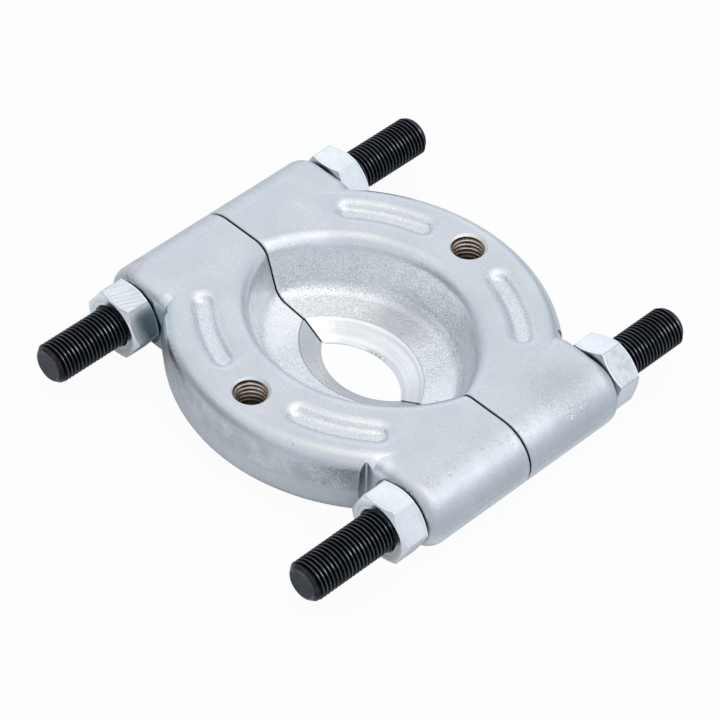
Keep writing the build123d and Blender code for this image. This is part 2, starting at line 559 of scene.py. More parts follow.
def scratch_group():
    """A few hairline scratches in two directions, and handling nicks."""
    tree, given, made = new_group(
        "handling_scratches",
        [("Vector", "Vector", None), ("Size", "Float", 0.004), ("Share", "Float", 0.5)],
        ["Scratch", "Nick"],
    )
    hairlines = []
    for turn_x, turn_z in SCRATCH_TURNS:
        inputs = {
            "Vector": given["Vector"],
            "Rotation": (turn_x, 0.2, turn_z),
            "Scale": (1.0, SCRATCH_SLIMNESS, SCRATCH_SLIMNESS),
        }
        turned = place(tree, "ShaderNodeMapping", inputs).outputs[0]
        lines = noise(tree, turned, maths(tree, "DIVIDE", 0.35, given["Size"]), 1.0)["Fac"]
        hairlines.append(step(tree, lines, 0.69, 0.72))
    spread = noise(tree, given["Vector"], maths(tree, "DIVIDE", 0.6, given["Size"]), 2.0)["Fac"]
    edge = rest_of(tree, given["Share"])
    patch = step(tree, spread, product(tree, edge, 0.8), added(tree, edge, 0.1))
    tree.links.new(product(tree, largest(tree, *hairlines), patch), made["Scratch"])
    dot_scale = maths(tree, "DIVIDE", 1.6, given["Size"])
    dots = place(tree, "ShaderNodeTexVoronoi", {"Vector": given["Vector"], "Scale": dot_scale}).outputs
    small = step(tree, dots["Distance"], 0.22, 0.10)
    tree.links.new(product(tree, small, patch), made["Nick"])
    return tree


clouds = cloud_group()
grain = grain_group()
pits = pits_group()
tool_marks = marks_group()
scratches = scratch_group()


def new_material(name):
    """A bare metal with a Principled shader, and its object coordinates, whole and split."""
    material = bpy.data.materials.new(name)
    material.use_nodes = True
    tree = material.node_tree
    shader = tree.nodes["Principled BSDF"]
    shader.inputs["Metallic"].default_value = 1.0
    where = tree.nodes.new("ShaderNodeTexCoord").outputs["Object"]
    axes = place(tree, "ShaderNodeSeparateXYZ", {"Vector": where}).outputs
    return material, tree, shader, where, axes


def finish_with(tree, shader, colour, roughness, normal):
    """Links what changes over the surface to the shader."""
    for name, socket in (("Base Color", colour), ("Roughness", roughness), ("Normal", normal)):
        tree.links.new(socket, shader.inputs[name])


# Plated forging: its tones
PLATE_LIGHT = (0.715, 0.738, 0.757)
PLATE_DULL = (0.650, 0.673, 0.697)
PLATE_DARK = (0.500, 0.517, 0.538)
# Recess and grooves: painted light, for light bounced between their walls; more painted light on the left
# recess wall
PLATE_RECESS_BOUNCE_LIGHT = (0.865, 0.882, 0.900)
PLATE_GLINT = (0.930, 0.935, 0.940)
LEFT_WALL_PAINTED_LIGHT = (0.985, 0.990, 0.995)
# Painted shade on part of the recess floor
DIM_FLOOR_PAINTED_SHADE = (0.530, 0.545, 0.565)
DARKER_EAR_TONE = (0.420, 0.410, 0.410)
# Painted light on the ears' lower sides and at one ear's root
EAR_PAINTED_LIGHT = (0.960, 0.970, 0.980)
# Painted glints on the shoulder pits and on the frosted patch
PAINTED_GLINT_TONE = (0.990, 0.990, 0.990)
# Bevels: painted shade on the front one, painted light on the rear one
BEVEL_FRONT_PAINTED_SHADE = (0.620, 0.635, 0.650)
BEVEL_REAR_PAINTED_LIGHT = (1.0, 1.0, 0.995)
# Seam: dirt and painted shadow of the gap between the jaws
SEAM_DIRT_AND_SHADOW = (0.030, 0.032, 0.035)
NUT_SHADOW = (0.100, 0.105, 0.110)
PIT_DARK = (0.250, 0.260, 0.275)
FACE_DARK = (0.160, 0.210, 0.230)
FACE_LIGHT = (0.600, 0.680, 0.720)
SEAT_TONE = (0.700, 0.770, 0.810)

# Spots of the forging that differ from the rest: middle, inner and outer radius, in millimetres
# (the frosted spot's middle is in the coordinates that frosted_patch() shortens and shifts)
FROSTED_SPOT = ((73.4, 11.1, 22.1), 0.9, 2.9)
DARKER_EAR_SPOT = ((-70.0, -38.5, 21.5), 2.0, 9.5)
# Painted shade on part of the recess floor
DIM_FLOOR_SHADE_SPOT = ((-3.5, 20.5, 6.5), 3.0, 15.0)
SCALY_SPOT = ((38.5, -50.5, 17.0), 3.0, 16.0)
DUSKY_TOP_SPOT = ((65.0, 23.0, 24.8), 4.0, 17.0)
# Painted light at the root of the front right ear
LIT_EAR_ROOT_SPOT = ((49.8, -41.0, 24.0), 1.5, 6.0)
BURR_SPOT = ((-1.6, 8.8, 0.3), 2.6, 5.4)


def forging_places(tree, axes):
    """Where a point of the forging is: distances in metres, and its turn round the recess's axis."""
    at = SimpleNamespace(x=axes["X"], y=axes["Y"], height=axes["Z"])
    at.side = maths(tree, "ABSOLUTE", at.x)
    at.from_seam = maths(tree, "ABSOLUTE", at.y)
    at.reach = added(tree, at.from_seam, RECESS_AXIS_Y)
    at.radius = length_of(tree, at.side, at.reach)
    at.turn = maths(tree, "ARCTAN2", at.x, at.reach)
    at.from_stud = length_of(tree, less(tree, at.side, STUD_X), less(tree, at.height, STUD_Z))
    at.front = step(tree, at.y, 0.001 * MM, -0.001 * MM)
    return at


def mask_recess(tree, at, on):
    """Masks of the recess, its bevel and that bevel's rim."""
    on.recess = step(tree, at.radius, RIM_RADIUS + 1.0 * MM, RIM_RADIUS - 3.5 * MM)
    # The left wall carries painted light; the right wall is toned back from the recess's painted light
    on.left_wall = product(
        tree,
        on.recess,
        step(tree, at.x, -16.0 * MM, -27.0 * MM),
        step(tree, at.y, 1.0 * MM, 0.0),
    )
    on.right_wall = product(
        tree,
        on.recess,
        step(tree, at.x, 22.0 * MM, 33.0 * MM),
        step(tree, at.height, 9.0 * MM, 13.0 * MM),
    )
    on.bevel = product(
        tree,
        step(tree, at.radius, BEVEL_RADIUS + 0.05 * MM, BEVEL_RADIUS - 0.05 * MM),
        step(tree, at.height, BEVEL_HEIGHT + 0.3 * MM, BEVEL_HEIGHT + 0.1 * MM),
    )
    on.bevel_rim = product(
        tree,
        band(tree, at.radius, BEVEL_RADIUS, 0.40 * MM, 0.10 * MM),
        step(tree, at.height, 8.0 * MM, 7.0 * MM),
    )


def mask_grooves(tree, at, on):
    """Mask of the sunken grooves, from the distance to the arc along their middle."""
    turn = maths(tree, "MAXIMUM", maths(tree, "ABSOLUTE", at.turn), GROOVE_NEAR)
    held = maths(tree, "MINIMUM", turn, GROOVE_FAR)
    arc_x = product(tree, maths(tree, "SINE", held), GROOVE_RADIUS)
    arc_y = product(tree, maths(tree, "COSINE", held), GROOVE_RADIUS)
    from_middle = length_of(tree, less(tree, at.side, arc_x), less(tree, at.reach, arc_y))
    on.groove = product(
        tree,
        step(tree, from_middle, 4.8 * MM, 3.6 * MM),
        step(tree, at.height, 20.0 * MM, 21.5 * MM),
    )


def mask_wall_and_ears(tree, at, on):
    """Masks of the ring's outer wall, grainier and darker by painted shade above the line where the dies met,
    and of the ears.
    """
    outer = length_of(tree, at.side, added(tree, at.from_seam, OUTER_AXIS_Y))
    on.wall = step(tree, outer, WALL_RADIUS, WALL_RADIUS + 0.9 * MM)
    on.upper_wall = product(
        tree,
        on.wall,
        step(tree, at.height, 12.2 * MM, 13.4 * MM),
        step(tree, at.height, 22.0 * MM, 20.0 * MM),
        step(tree, at.side, 48.0 * MM, 44.0 * MM),
    )
    on.parting = product(tree, on.wall, band(tree, at.height, STUD_Z, 0.5 * MM, 0.1 * MM))
    on.ear = step(tree, at.side, 62.5 * MM, 66.5 * MM)
    on.shoulder = product(
        tree,
        band(tree, at.side, 65.0 * MM, 5.0 * MM, 2.0 * MM),
        step(tree, at.height, 20.0 * MM, 22.5 * MM),
    )
    on.low_side = product(tree, on.ear, band(tree, at.height, 15.5 * MM, 4.5 * MM, 0.5 * MM))
    on.ear_foot = product(tree, on.ear, step(tree, at.height, 12.0 * MM, 8.0 * MM))


def mask_cuts(tree, at, on):
    """Masks of the square cuts where the nuts turn, and of the dirt and painted gap shadow in the seam."""
    on.beside_nut = product(
        tree,
        step(tree, at.from_seam, EAR_REACH - 0.7 * MM, EAR_REACH - 0.1 * MM),
        step(tree, at.side, SEAT_SIDE - 0.5 * MM, SEAT_SIDE + 0.2 * MM),
        step(tree, at.from_stud, 12.6 * MM, 11.9 * MM),
    )
    on.wall_face = product(
        tree,
        band(tree, at.side, SEAT_SIDE, 0.25 * MM, 0.12 * MM),
        step(tree, at.from_seam, EAR_REACH - 0.1 * MM, EAR_REACH + 0.1 * MM),
    )
    on.seat_face = product(
        tree,
        band(tree, at.from_seam, EAR_REACH, 0.25 * MM, 0.12 * MM),
        step(tree, at.side, SEAT_SIDE - 0.1 * MM, SEAT_SIDE + 0.1 * MM),
        step(tree, at.side, 56.0 * MM, 49.0 * MM),
    )
    # Inner corner of the cut, which carries a painted highlight
    on.inner_corner = product(
        tree,
        band(tree, at.side, SEAT_SIDE + 0.1 * MM, 0.40 * MM, 0.25 * MM),
        band(tree, at.from_seam, EAR_REACH + 0.1 * MM, 0.40 * MM, 0.25 * MM),
    )
    on.seam = product(
        tree,
        step(tree, at.from_seam, 0.50 * MM, 0.18 * MM),
        step(tree, at.from_seam, 0.001 * MM, 0.003 * MM),
    )


def frosted_patch(tree, where):
    """A small rough patch of uneven outline on one ear."""
    shortened = vector_maths(tree, "MULTIPLY", where, (1.0, 0.5, 1.0))
    outline = noise(tree, where, 420.0, 1.0)["Color"]
    wavy = vector_maths(tree, "MULTIPLY", outline, (2.6 * MM, 0.0, 2.6 * MM))
    return near(tree, vector_maths(tree, "ADD", shortened, wavy), FROSTED_SPOT)


def forging_textures(tree, where, at, on):
    """Clouds, grain, pits and tool marks of the forging, and how grainy it is at each point."""
    of = SimpleNamespace()
    of.cloud = use(tree, clouds, Vector=where, Size=16.0 * MM)["Cloud"]
    of.patch = use(tree, clouds, Vector=where, Size=6.0 * MM)["Cloud"]
    of.fine = use(tree, grain, Vector=where, Size=0.42 * MM)
    of.medium = use(tree, grain, Vector=where, Size=0.62 * MM)
    of.coarse = use(tree, grain, Vector=where, Size=1.2 * MM)
    of.scratches = use(tree, scratches, Vector=where, Size=6.0 * MM, Share=0.42)
    of.scatter = use(tree, pits, Vector=where, Size=1.3 * MM, Share=0.05)["Depth"]
    rows = use(tree, pits, Vector=where, Size=0.9 * MM, Share=0.80)["Depth"]
    of.row_pits = product(tree, rows, on.shoulder, step(tree, of.patch, 0.25, 0.60))

    round_bevel = product(tree, at.turn, 26.0 * MM)
    of.brushed = use(tree, tool_marks, Along=round_bevel, Across=at.radius, Spacing=0.28 * MM)
    over_ear = product(tree, less(tree, at.side, at.height), 7.0)
    of.strokes = use(tree, tool_marks, Along=over_ear, Across=at.y, Spacing=0.35 * MM)
    up_wall = product(tree, at.height, 5.0)
    round_wall = product(tree, at.turn, 70.0 * MM)
    of.wall_streaks = use(tree, tool_marks, Along=up_wall, Across=round_wall, Spacing=0.9 * MM)

    smoother = step(tree, at.x, 18.0 * MM, 32.0 * MM, 1.0, 0.20)
    patched = between(tree, step(tree, of.patch, 0.25, 0.75), 0.65, 1.0)
    of.grainy = largest(
        tree,
        product(tree, on.recess, smoother, patched),
        product(tree, on.groove, 0.5),
        product(tree, on.upper_wall, 0.8),
        product(tree, on.dusky_top, 0.80),
        product(tree, on.scaly, on.upper_wall),
    )
    return of


def forging_colour(tree, where, at, on, of):
    """Coats from the plain plating, over its grain, stains and painted light and shade, to the dirt and
    painted gap shadow in the seam.
    """
    dark_salt = product(
        tree, of.medium["Tone"], between(tree, of.grainy, 0.20, 0.62), between(tree, on.left_wall, 1.0, 0.45)
    )
    light_salt = product(tree, of.fine["Tone"], between(tree, of.grainy, 0.10, 0.60))
    speckle = product(
        tree,
        on.scaly,
        on.upper_wall,
        step(tree, of.medium["Tone"], 0.60, 0.95),
        step(tree, of.patch, 0.1, 0.9, 0.35, 0.9),
    )
    in_shade = largest(tree, product(tree, on.low_side, 0.55), product(tree, on.dusky_top, 0.60))
    # Painted light on the ears' lower sides and at one ear's root
    root = near(tree, where, LIT_EAR_ROOT_SPOT)
    lit_up = largest(tree, product(tree, on.ear_foot, 0.7), product(tree, root, 0.8))
    # Painted glints on the shoulder pits and on the frosted patch
    glint = largest(tree, of.row_pits, product(tree, on.frosted, of.fine["Tone"], 0.7))
    burr = product(
        tree,
        near(tree, where, BURR_SPOT),
        step(tree, of.fine["Height"], 0.50, 0.58),
        step(tree, at.height, 1.2 * MM, 0.7 * MM),
    )
    # Painted shade on the front bevel and painted light on the rear one, under the brushed marks
    bevel_tone = tint(tree, at.front, BEVEL_REAR_PAINTED_LIGHT, BEVEL_FRONT_PAINTED_SHADE)
    bevel_tone = tint(tree, product(tree, of.brushed["Tone"], 0.35), bevel_tone, PLATE_DARK)
    face_tone = tint(tree, step(tree, at.height, 9.0 * MM, 20.0 * MM), FACE_LIGHT, FACE_DARK)
    return coated(
        tree,
        tint(tree, of.cloud, PLATE_DULL, PLATE_LIGHT),
        # Painted light in the recess and grooves, more on the left wall and toned back on the right wall
        (largest(tree, on.recess, product(tree, on.groove, 0.6)), PLATE_RECESS_BOUNCE_LIGHT),
        (on.left_wall, LEFT_WALL_PAINTED_LIGHT),
        (product(tree, on.right_wall, 0.45), PLATE_LIGHT),
        (light_salt, PLATE_GLINT),
        (dark_salt, PLATE_DARK),
        # Outer wall above the parting line: grainier, and darker by painted shade
        (product(tree, on.upper_wall, between(tree, of.patch, 0.60, 0.0)), PLATE_DARK),
        # Painted shade on part of the recess floor
        (product(tree, near(tree, where, DIM_FLOOR_SHADE_SPOT), 0.85), DIM_FLOOR_PAINTED_SHADE),
        (product(tree, on.scaly, on.upper_wall, 0.36), PIT_DARK),
        (speckle, PLATE_GLINT),
        # A darker patch on the front left ear, beside its nut
        (product(tree, near(tree, where, DARKER_EAR_SPOT), of.patch, 0.85), DARKER_EAR_TONE),
        (product(tree, of.strokes["Tone"], on.ear, 0.22), PLATE_DARK),
        (in_shade, PLATE_DARK),
        (lit_up, EAR_PAINTED_LIGHT),
        (glint, PAINTED_GLINT_TONE),
        (product(tree, of.scatter, 0.35), PIT_DARK),
        (on.bevel, bevel_tone),
        (product(tree, on.bevel_rim, between(tree, at.front, 0.12, 0.5)), PIT_DARK),
        (product(tree, of.scratches["Scratch"], 0.35), PLATE_GLINT),
        (on.seat_face, SEAT_TONE),
        (on.wall_face, face_tone),
        # Painted highlight along the inner corner of the cut beside the nut
        (on.inner_corner, PLATE_GLINT),
        (product(tree, on.beside_nut, 0.75), NUT_SHADOW),
        (product(tree, burr, 0.85), PIT_DARK),
        # Dirt and painted shadow of the gap in the seam
        (on.seam, SEAM_DIRT_AND_SHADOW),
    )


def forging_roughness(tree, on, of):
    """Duller where the clouds are thin, on the wall and ears, on the frosted patch and in the seam."""
    rough = added(
        tree,
        between(tree, of.cloud, 0.29, 0.23),
        product(tree, largest(tree, on.wall, on.ear), 0.06),
        product(tree, on.frosted, 0.10),
    )
    bevel_rough = between(tree, of.brushed["Tone"], 0.22, 0.30)
    return added(tree, tint_value(tree, on.bevel, rough, bevel_rough), product(tree, on.seam, 0.3))


def forging_relief(tree, where, on, of):
    """From the broad waves of the forging down to its grain, pits and scratches."""
    off_bevel = rest_of(tree, on.bevel)
    dents = added(tree, product(tree, of.scratches["Scratch"], 0.15), of.scratches["Nick"])
    lost = added(tree, of.scatter, product(tree, dents, 0.4))
    return relief(
        tree,
        (noise(tree, where, 110.0, 2.0)["Fac"], 0.12),
        (product(tree, of.coarse["Height"], off_bevel, between(tree, of.grainy, 0.28, 1.0)), 0.14),
        (product(tree, of.medium["Height"], off_bevel, between(tree, of.grainy, 0.22, 1.0)), 0.19),
        (product(tree, of.fine["Height"], off_bevel, between(tree, of.grainy, 0.30, 1.0)), 0.035),
        (product(tree, of.strokes["Height"], on.ear), 0.045),
        (product(tree, of.wall_streaks["Height"], on.wall), 0.05),
        (product(tree, of.brushed["Height"], on.bevel), 0.02),
        (on.parting, 0.08),
        (product(tree, less(tree, of.coarse["Height"], 0.5), on.frosted), 0.70),
        (of.row_pits, 0.22),
        (rest_of(tree, lost), 0.11),
    )


def plated_forging():
    """Zinc-plated forging: soft clouds, grain in the recess and grooves, a brushed bevel, a dark seam."""
    material, tree, shader, where, axes = new_material("plated_forging")
    at = forging_places(tree, axes)
    on = SimpleNamespace(
        frosted=frosted_patch(tree, where),
        scaly=near(tree, where, SCALY_SPOT),
        dusky_top=near(tree, where, DUSKY_TOP_SPOT),
    )
    for mask in (mask_recess, mask_grooves, mask_wall_and_ears, mask_cuts):
        mask(tree, at, on)
    of = forging_textures(tree, where, at, on)
    colour = forging_colour(tree, where, at, on, of)
    finish_with(tree, shader, colour, forging_roughness(tree, on, of), forging_relief(tree, where, on, of))
    return material


# Bare thread of the puller holes: its tones, those in pairs from dull to light
THREAD_CREAM = ((0.92, 0.86, 0.78), (1.0, 0.98, 0.94))
THREAD_RUST = ((0.17, 0.11, 0.07), (0.42, 0.30, 0.20))
THREAD_ROOT = (0.020, 0.014, 0.010)
# Painted shade deep in the hole
THREAD_DEPTH_SHADE = (0.025, 0.020, 0.018)
MOUTH_FRONT = (0.80, 0.81, 0.82)
MOUTH_REAR = (0.93, 0.88, 0.82)


def cut_thread():
    """Bare thread of a puller hole: cream ridges with rusty sides, near black between, and darker further
    down by painted shade.
    """
    material, tree, shader, where, axes = new_material("cut_thread")
    from_hole = less(tree, maths(tree, "ABSOLUTE", axes["Y"]), HOLE_Y)
    radius = length_of(tree, from_hole, axes["X"])
    cloud = use(tree, clouds, Vector=where, Size=3.0 * MM)["Cloud"]
    fine = use(tree, grain, Vector=where, Size=0.4 * MM)["Height"]
    ridge = step(tree, radius, HOLE_ROOT + 0.34 * MM, HOLE_ROOT + 0.08 * MM)
    valley = step(tree, radius, HOLE_ROOT + 0.50 * MM, HOLE_ROOT + 0.72 * MM)
    mouth = step(tree, axes["Z"], THICKNESS - 1.15 * MM, THICKNESS - 0.75 * MM)
    rear = step(tree, axes["Y"], -1.0 * MM, 1.0 * MM)
    # Painted shade deeper in the hole
    deep_shade = step(tree, axes["Z"], 19.5 * MM, 13.5 * MM)
    colour = coated(
        tree,
        tint(tree, cloud, *THREAD_RUST),
        (valley, THREAD_ROOT),
        (ridge, tint(tree, cloud, *THREAD_CREAM)),
        (product(tree, deep_shade, 0.86), THREAD_DEPTH_SHADE),
        (mouth, tint(tree, rear, MOUTH_FRONT, MOUTH_REAR)),
    )
    finish_with(tree, shader, colour, between(tree, ridge, 0.5, 0.26), relief(tree, (fine, 0.02)))
    return material


def round_stud(tree, axes):
    """Height over the stud's axis, distance from it, and the angle round it from +Z towards +X."""
    centre = product(tree, maths(tree, "SIGN", axes["X"]), STUD_X)
    side = less(tree, axes["X"], centre)
    up = less(tree, axes["Z"], STUD_Z)
    return up, length_of(tree, side, up), maths(tree, "ARCTAN2", side, up)


# Blackened studs: their tones, those in pairs from dull to light, and where a painted highlight lies along
# the crests
STUD_ROOT_TONE = (0.0040, 0.0045, 0.0060)
STUD_CREST_TONE = (0.125, 0.132, 0.148)
STUD_PAINTED_GLINT = (0.420, 0.430, 0.445)
STUD_TURNED = ((0.024, 0.023, 0.026), (0.050, 0.048, 0.052))
STUD_FACE = ((0.030, 0.034, 0.041), (0.046, 0.051, 0.060))
# Painted highlight round the rim of the end faces
STUD_RIM_HIGHLIGHT = (0.14, 0.14, 0.14)
STUD_GLINT_ANGLE = 0.70


def black_stud():
    """Blackened steel: black in the roots, rubbed shiny on the crests, with a painted highlight along one
    line of them and round the end faces' rims, a shade bluer on the end faces.
    """
    material, tree, shader, where, axes = new_material("black_stud")
    up, radius, angle = round_stud(tree, axes)
    shift = step(tree, axes["X"], -1.0 * MM, 1.0 * MM, STUD_SHIFT["left"], STUD_SHIFT["right"])
    from_middle = apart(tree, axes["Y"], shift)
    end_ring = step(tree, from_middle, STUD_HALF_LENGTH - 1.9 * MM, STUD_HALF_LENGTH - 1.3 * MM)
    end_face = step(tree, from_middle, STUD_HALF_LENGTH - 0.25 * MM, STUD_HALF_LENGTH - 0.05 * MM)
    cloud = use(tree, clouds, Vector=where, Size=4.0 * MM)["Cloud"]
    fine = use(tree, grain, Vector=where, Size=0.3 * MM)["Height"]
    crest = step(tree, radius, STUD_CREST - 0.24 * MM, STUD_CREST - 0.04 * MM)
    rubbed = product(tree, crest, between(tree, cloud, 0.55, 1.0))
    # Painted highlight along one line of the crests
    along_line = band(tree, angle, STUD_GLINT_ANGLE, 0.20, 0.04)
    glint_line = product(tree, along_line, step(tree, cloud, 0.1, 0.8, 0.3, 1.0))
    # Painted highlight round the rim of the end face
    rim_highlight = product(
        tree,
        step(tree, from_middle, STUD_HALF_LENGTH - 0.40 * MM, STUD_HALF_LENGTH - 0.22 * MM),
        step(tree, radius, 4.6 * MM, 5.0 * MM),
        between(tree, cloud, 0.2, 1.0),
    )
    colour = coated(
        tree,
        tint(tree, rubbed, STUD_ROOT_TONE, tint(tree, glint_line, STUD_CREST_TONE, STUD_PAINTED_GLINT)),
        (end_ring, tint(tree, cloud, *STUD_TURNED)),
        (end_face, tint(tree, cloud, *STUD_FACE)),
        (rim_highlight, STUD_RIM_HIGHLIGHT),
    )
    roughness = tint_value(tree, rubbed, between(tree, cloud, 0.30, 0.22), 0.14)
    rings = use(tree, tool_marks, Along=axes["Y"], Across=radius, Spacing=0.6 * MM)["Height"]
    normal = relief(tree, (product(tree, rings, end_face), 0.05), (fine, 0.010))
    finish_with(tree, shader, colour, roughness, normal)
    return material


# Zinc-plated nuts: their tones
ZINC_LIGHT = (0.980, 0.990, 0.985)
ZINC_DULL = (0.885, 0.910, 0.915)
# Wear on scratches and edges, and painted highlight along the chamfer arcs
ZINC_WEAR_AND_HIGHLIGHT = (0.990, 0.990, 0.990)
ZINC_STREAK = (0.60, 0.64, 0.68)
ZINC_GRAIN = (0.62, 0.65, 0.67)
# Painted reflection of the shaded notch wall on one flat of the front left nut
ZINC_PAINTED_REFLECTION = (0.24, 0.34, 0.38)
# Painted shade on the upper right flat of the rear right nut
ZINC_PAINTED_SHADE = (0.550, 0.570, 0.585)
ZINC_EDGE = (0.50, 0.55, 0.58)
ZINC_ARC = (0.55, 0.60, 0.63)
# Painted shade on the chamfer facing the ear
ZINC_CONE_SHADE = (0.42, 0.50, 0.52)
# Painted shadow where a nut meets its ear
ZINC_SEAT_SHADOW = (0.050, 0.055, 0.060)
ZINC_BORE = (0.30, 0.24, 0.15)

# Direction of the grinding marks on the front left nut, as shares of X and Y
GROUND_X = 0.37
GROUND_Y = 0.93


def nut_places(tree, axes):
    """Where a point of a nut is on it, and which of the four nuts it is on."""
    at = SimpleNamespace()
    at.up, at.radius, at.angle = round_stud(tree, axes)
    left = step(tree, axes["X"], 0.001 * MM, -0.001 * MM)
    front = step(tree, axes["Y"], 0.001 * MM, -0.001 * MM)
    at.left_front = product(tree, left, front)
    at.right_rear = product(tree, rest_of(tree, left), rest_of(tree, front))
    from_seam = maths(tree, "ABSOLUTE", axes["Y"])
    at.from_seat = less(tree, from_seam, EAR_REACH)
    from_end = less(tree, EAR_REACH + NUT_THICKNESS, from_seam)
    cone = product(tree, less(tree, at.radius, NUT_FACE), math.tan(NUT_CHAMFER))
    at.past_cone = less(tree, maths(tree, "MINIMUM", at.from_seat, from_end), cone)
    return at


def nut_corner(tree, at):
    """Mask of the six corners. Two of the nuts are turned further than the others."""
    common = NUT_TURNS["front_right"]
    extra = added(
        tree,
        product(tree, at.left_front, math.radians(NUT_TURNS["front_left"] - common)),
        product(tree, at.right_rear, math.radians(NUT_TURNS["rear_right"] - common)),
    )
    first = math.radians(90.0 - common - 360.0)
    from_corner = less(tree, added(tree, at.angle, extra), first)
    past = maths(tree, "MODULO", from_corner, math.radians(60.0))
    to_corner = maths(tree, "MINIMUM", past, less(tree, math.radians(60.0), past))
    return product(
        tree,
        step(tree, product(tree, to_corner, at.radius), 0.30 * MM, 0.12 * MM),
        step(tree, at.radius, NUT_FLAT, NUT_FLAT + 0.5 * MM),
    )


def nut_masks(tree, at):
    """Masks of a nut's worn and highlighted edges, cones, bore and painted seat shadow, and of the flats with
    painted shade and painted reflection.
    """
    on = SimpleNamespace(corner=nut_corner(tree, at))
    seat_half = step(tree, at.from_seat, 5.0 * MM, 4.0 * MM)
    cone = step(tree, at.past_cone, 0.10 * MM, 0.02 * MM)
    on.bore = step(tree, at.radius, NUT_SINK_RADIUS - 0.1 * MM, NUT_SINK_RADIUS - 0.5 * MM)
    on.worn = product(
        tree,
        step(tree, at.past_cone, 0.03 * MM, 0.10 * MM),
        step(tree, at.past_cone, 0.60 * MM, 0.30 * MM),
        step(tree, at.radius, NUT_FACE, NUT_FLAT),
        between(tree, seat_half, 0.3, 1.0),
    )
    on.arc_line = product(
        tree,
        step(tree, at.past_cone, 0.55 * MM, 0.65 * MM),
        step(tree, at.past_cone, 0.95 * MM, 0.80 * MM),
    )
    on.seat_cone = product(tree, cone, seat_half)
    on.outer_cone = product(
        tree,
        cone,
        step(tree, at.from_seat, 6.0 * MM, 7.0 * MM),
        step(tree, at.radius, NUT_FACE, NUT_FACE + 0.15 * MM),
    )
    on.by_seat = step(tree, at.from_seat, 0.50 * MM, 0.10 * MM)
    on.end = step(tree, at.from_seat, NUT_THICKNESS - 0.5 * MM, NUT_THICKNESS - 0.2 * MM)
    on.ground_flat = product(tree, at.left_front, step(tree, at.up, NUT_FLAT - 1.2 * MM, NUT_FLAT - 0.6 * MM))
    on.dim_flat = product(
        tree,
        at.left_front,
        step(tree, at.up, 9.5 * MM, 6.5 * MM),
        step(tree, at.from_seat, 10.0 * MM, 6.0 * MM),
    )
    upper_right = math.radians(60.0 - NUT_TURNS["rear_right"])
    on.grey_flat = product(tree, at.right_rear, band(tree, at.angle, upper_right, 0.53, 0.50))
    return on


def zinc_nut():
    """Bright zinc plate, with grinding marks across one nut's top flat and a warmer, dark bore."""
    material, tree, shader, where, axes = new_material("zinc_nut")
    at = nut_places(tree, axes)
    on = nut_masks(tree, at)
    cloud = use(tree, clouds, Vector=where, Size=6.0 * MM)["Cloud"]
    blotch = use(tree, clouds, Vector=where, Size=2.5 * MM)["Cloud"]
    fine = use(tree, grain, Vector=where, Size=0.5 * MM)
    scratch = use(tree, scratches, Vector=where, Size=5.0 * MM, Share=0.4)
    nicks = use(tree, pits, Vector=where, Size=1.2 * MM, Share=0.10)["Depth"]
    along = added(tree, product(tree, axes["X"], GROUND_X), product(tree, axes["Y"], GROUND_Y))
    across = less(tree, product(tree, axes["X"], GROUND_Y), product(tree, axes["Y"], GROUND_X))
    ground = use(tree, tool_marks, Along=along, Across=across, Spacing=0.18 * MM)
    colour = coated(
        tree,
        tint(tree, cloud, ZINC_DULL, ZINC_LIGHT),
        (product(tree, between(tree, ground["Tone"], 0.20, 0.75), on.ground_flat), ZINC_STREAK),
        (product(tree, fine["Tone"], 0.35), ZINC_GRAIN),
        # Painted reflection of the shaded notch wall on the front left nut
        (product(tree, on.dim_flat, 0.8), ZINC_PAINTED_REFLECTION),
        # Painted shade on the upper right flat of the rear right nut
        (product(tree, on.grey_flat, between(tree, blotch, 1.0, 0.62)), ZINC_PAINTED_SHADE),
        (product(tree, scratch["Scratch"], 0.4), ZINC_WEAR_AND_HIGHLIGHT),
        (product(tree, on.corner, 0.7), ZINC_EDGE),
        (product(tree, on.arc_line, 0.45), ZINC_ARC),
        # Painted shade on the chamfer facing the ear
        (product(tree, on.seat_cone, 0.7), ZINC_CONE_SHADE),
        # Wear and painted highlight along the chamfer arcs
        (product(tree, on.outer_cone, 0.8), ZINC_WEAR_AND_HIGHLIGHT),
        (product(tree, on.worn, 0.9), ZINC_WEAR_AND_HIGHLIGHT),
        # Painted shadow where the nut meets its ear
        (product(tree, on.by_seat, 0.92), ZINC_SEAT_SHADOW),
        (on.bore, ZINC_BORE),
    )
    rough = added(tree, between(tree, cloud, 0.38, 0.30), product(tree, on.ground_flat, 0.10))
    normal = relief(
        tree,
        (noise(tree, where, 160.0, 2.0)["Fac"], 0.08),
        (fine["Height"], 0.05),
        (product(tree, ground["Height"], on.ground_flat), 0.08),
        (rest_of(tree, added(tree, scratch["Nick"], nicks)), 0.03),
    )
    finish_with(tree, shader, colour, tint_value(tree, on.end, rough, 0.20), normal)
    return material


# The pieces
forging = plated_forging()
thread_steel = cut_thread()
blackened = black_stud()
zinc = zinc_nut()

for end in ("front", "rear"):
    make_jaw(end, forging)
    make_hole_thread(end, thread_steel)
for side in ("left", "right"):
    make_stud(side, blackened)
for nut_place in NUT_TURNS:
    make_nut(nut_place, zinc)


# Floor, light and camera
FLOOR_HALF = 4.0
FLOOR_COLOUR = (0.70, 0.73, 0.76, 1.0)
# How much plain white is mixed into the lit floor: as the camera sees it, and as metal mirrors it
FLOOR_WHITE_TO_CAMERA = 0.95
FLOOR_WHITE_TO_METAL = 0.10

# Sky of the studio: height of the direction, from 0 level to 1 straight up, and colour
SKY = (
    (0.00, (0.67, 0.72, 0.79)),
    (0.14, (0.70, 0.75, 0.82)),
    (0.37, (0.79, 0.845, 0.92)),
    (0.61, (0.875, 0.92, 0.98)),
    (0.79, (0.855, 0.89, 0.94)),
    (0.93, (1.05, 1.07, 1.09)),
    (1.00, (1.25, 1.25, 1.24)),
)
